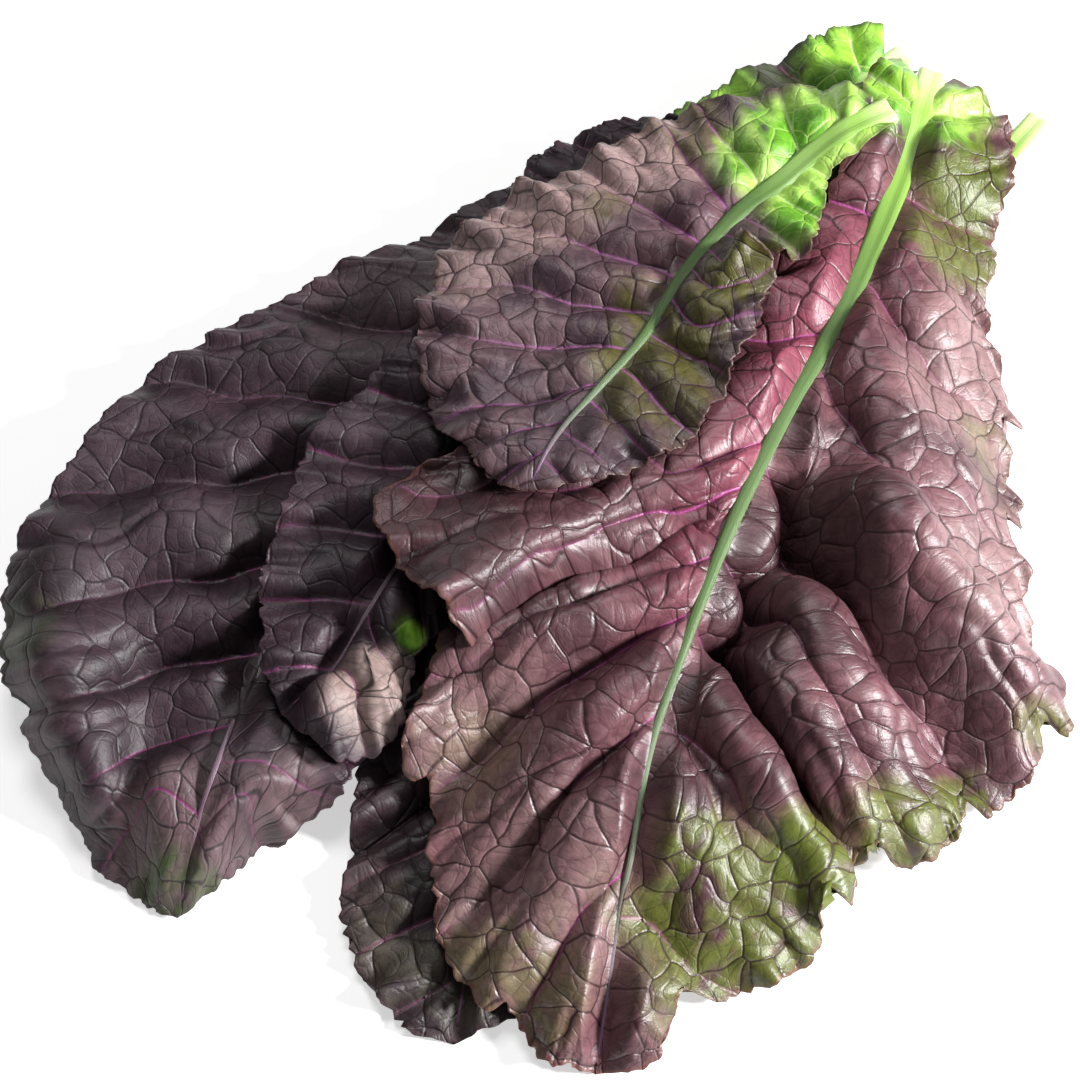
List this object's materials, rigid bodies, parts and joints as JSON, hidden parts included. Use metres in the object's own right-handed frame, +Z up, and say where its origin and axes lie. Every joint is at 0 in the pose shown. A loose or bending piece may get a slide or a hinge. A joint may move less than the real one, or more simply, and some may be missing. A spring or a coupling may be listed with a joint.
{
  "type": "bunch of mustard greens",
  "caption": "Bunch of red mustard greens lying in a fan: broad pleated, toothed leaves on long pale stalks gathered at one end, for cooking or salads.",
  "frame": {"origin": "middle of the bunch's footprint, on the surface that it lies on", "axes": "+Z up, cut stalk ends towards +X and +Y, leaf tips fanned from -X round to -Y"},
  "size_m": [0.377, 0.4044, 0.0609],
  "materials": {
    "stalk": "smooth, moist, pale green leaf stalk",
    "right_leaf_blade": "satin, puckered mauve and olive leaf",
    "lower_leaf_blade": "satin, puckered dark purple leaf",
    "left_leaf_blade": "satin, puckered dark purple leaf",
    "middle_leaf_blade": "satin, puckered dark purple leaf",
    "front_leaf_blade": "satin, puckered mauve leaf with olive margins",
    "top_leaf_blade": "satin, puckered purple leaf, lime green near the stalk"
  },
  "bodies": {
    "root": {"right_leaf_blade": "right_leaf_blade", "right_leaf_stalk": "stalk", "lower_leaf_blade": "lower_leaf_blade", "lower_leaf_stalk": "stalk", "left_leaf_blade": "left_leaf_blade", "left_leaf_stalk": "stalk", "middle_leaf_blade": "middle_leaf_blade", "middle_leaf_stalk": "stalk", "front_leaf_blade": "front_leaf_blade", "front_leaf_stalk": "stalk", "top_leaf_blade": "top_leaf_blade", "top_leaf_stalk": "stalk"}
  },
  "joints": []
}
